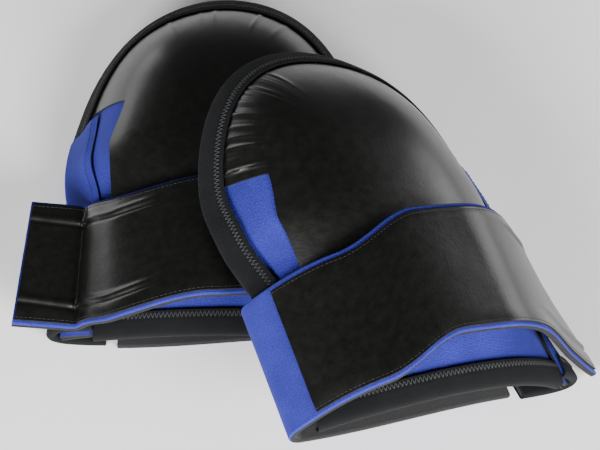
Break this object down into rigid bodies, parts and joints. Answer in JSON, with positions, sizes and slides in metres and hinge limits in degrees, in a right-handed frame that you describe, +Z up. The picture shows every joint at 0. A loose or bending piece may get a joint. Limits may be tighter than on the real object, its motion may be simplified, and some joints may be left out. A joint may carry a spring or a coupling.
{
  "type": "knee pads",
  "caption": "Pair of soft strap-on knee pads for roofing: blue neoprene shells with black vinyl domes, taped rims and wide wrap straps, one leaning on the other.",
  "frame": {"origin": "middle of the footprint of both pads as they lie, on the floor", "axes": "+Z up, out of the knee domes; +Y from the foot end towards the thigh end of the pad that lies flat; +X across it, towards the leaning pad"},
  "size_m": [0.3932, 0.3819, 0.1299],
  "materials": {
    "blue_neoprene": "matte nylon-faced foam rubber",
    "black_vinyl": "glossy embossed vinyl",
    "black_binding": "matte woven tape with zig-zag stitching",
    "black_lining": "matte knitted lining",
    "knee_foam": "closed-cell foam",
    "hook_tape": "matte hook tape"
  },
  "bodies": {
    "right_pad": {"right_body": "blue_neoprene", "right_foam_core": "knee_foam", "right_lining": "black_lining", "right_vinyl_cover": "black_vinyl", "right_rim_binding": "black_binding", "right_foot_binding": "black_binding", "right_side_wing": "blue_neoprene", "right_wing_binding": "black_binding", "right_strap_back": "blue_neoprene", "right_strap_fold": "blue_neoprene", "right_strap_front": "blue_neoprene", "right_front_panel": "black_vinyl"},
    "right_flap": {"right_strap_flap": "blue_neoprene", "right_flap_panel": "black_vinyl", "right_flap_hook_strip": "hook_tape"},
    "right_tab": {"right_strap_tab": "blue_neoprene", "right_tab_panel": "black_vinyl", "right_tab_hook_strip": "hook_tape"},
    "left_pad": {"left_body": "blue_neoprene", "left_foam_core": "knee_foam", "left_lining": "black_lining", "left_vinyl_cover": "black_vinyl", "left_rim_binding": "black_binding", "left_foot_binding": "black_binding", "left_side_wing": "blue_neoprene", "left_wing_binding": "black_binding", "left_strap_back": "blue_neoprene", "left_strap_fold": "blue_neoprene", "left_strap_front": "blue_neoprene", "left_front_panel": "black_vinyl"},
    "left_flap": {"left_strap_flap": "blue_neoprene", "left_flap_panel": "black_vinyl", "left_flap_hook_strip": "hook_tape"},
    "left_tab": {"left_strap_tab": "blue_neoprene", "left_tab_panel": "black_vinyl", "left_tab_hook_strip": "hook_tape"}
  },
  "joints": [
    {"name": "right_strap_peel", "type": "hinge", "parent": "right_pad", "child": "right_flap", "pos_m": [-0.09016, -0.0835, 0.07729], "axis": [0, 1, 0], "range_deg": [0, 95]},
    {"name": "right_tab_bend", "type": "hinge", "parent": "right_flap", "child": "right_tab", "pos_m": [-0.1516, -0.08816, 0.0372], "axis": [0.0277, 0.9982, 0.0534], "range_deg": [-15, 70]},
    {"name": "left_pad_lift", "type": "slide", "parent": "right_pad", "child": "left_pad", "axis": [0, 0, 1], "range_m": [0, 0.2]},
    {"name": "left_strap_peel", "type": "hinge", "parent": "left_pad", "child": "left_flap", "pos_m": [0.15633, -0.12943, 0.08914], "axis": [0.3329, -0.9415, -0.0522], "range_deg": [0, 95]},
    {"name": "left_tab_bend", "type": "hinge", "parent": "left_flap", "child": "left_tab", "pos_m": [0.17669, -0.10936, 0.04155], "axis": [0.4033, -0.8923, -0.2029], "range_deg": [0, 70]}
  ]
}
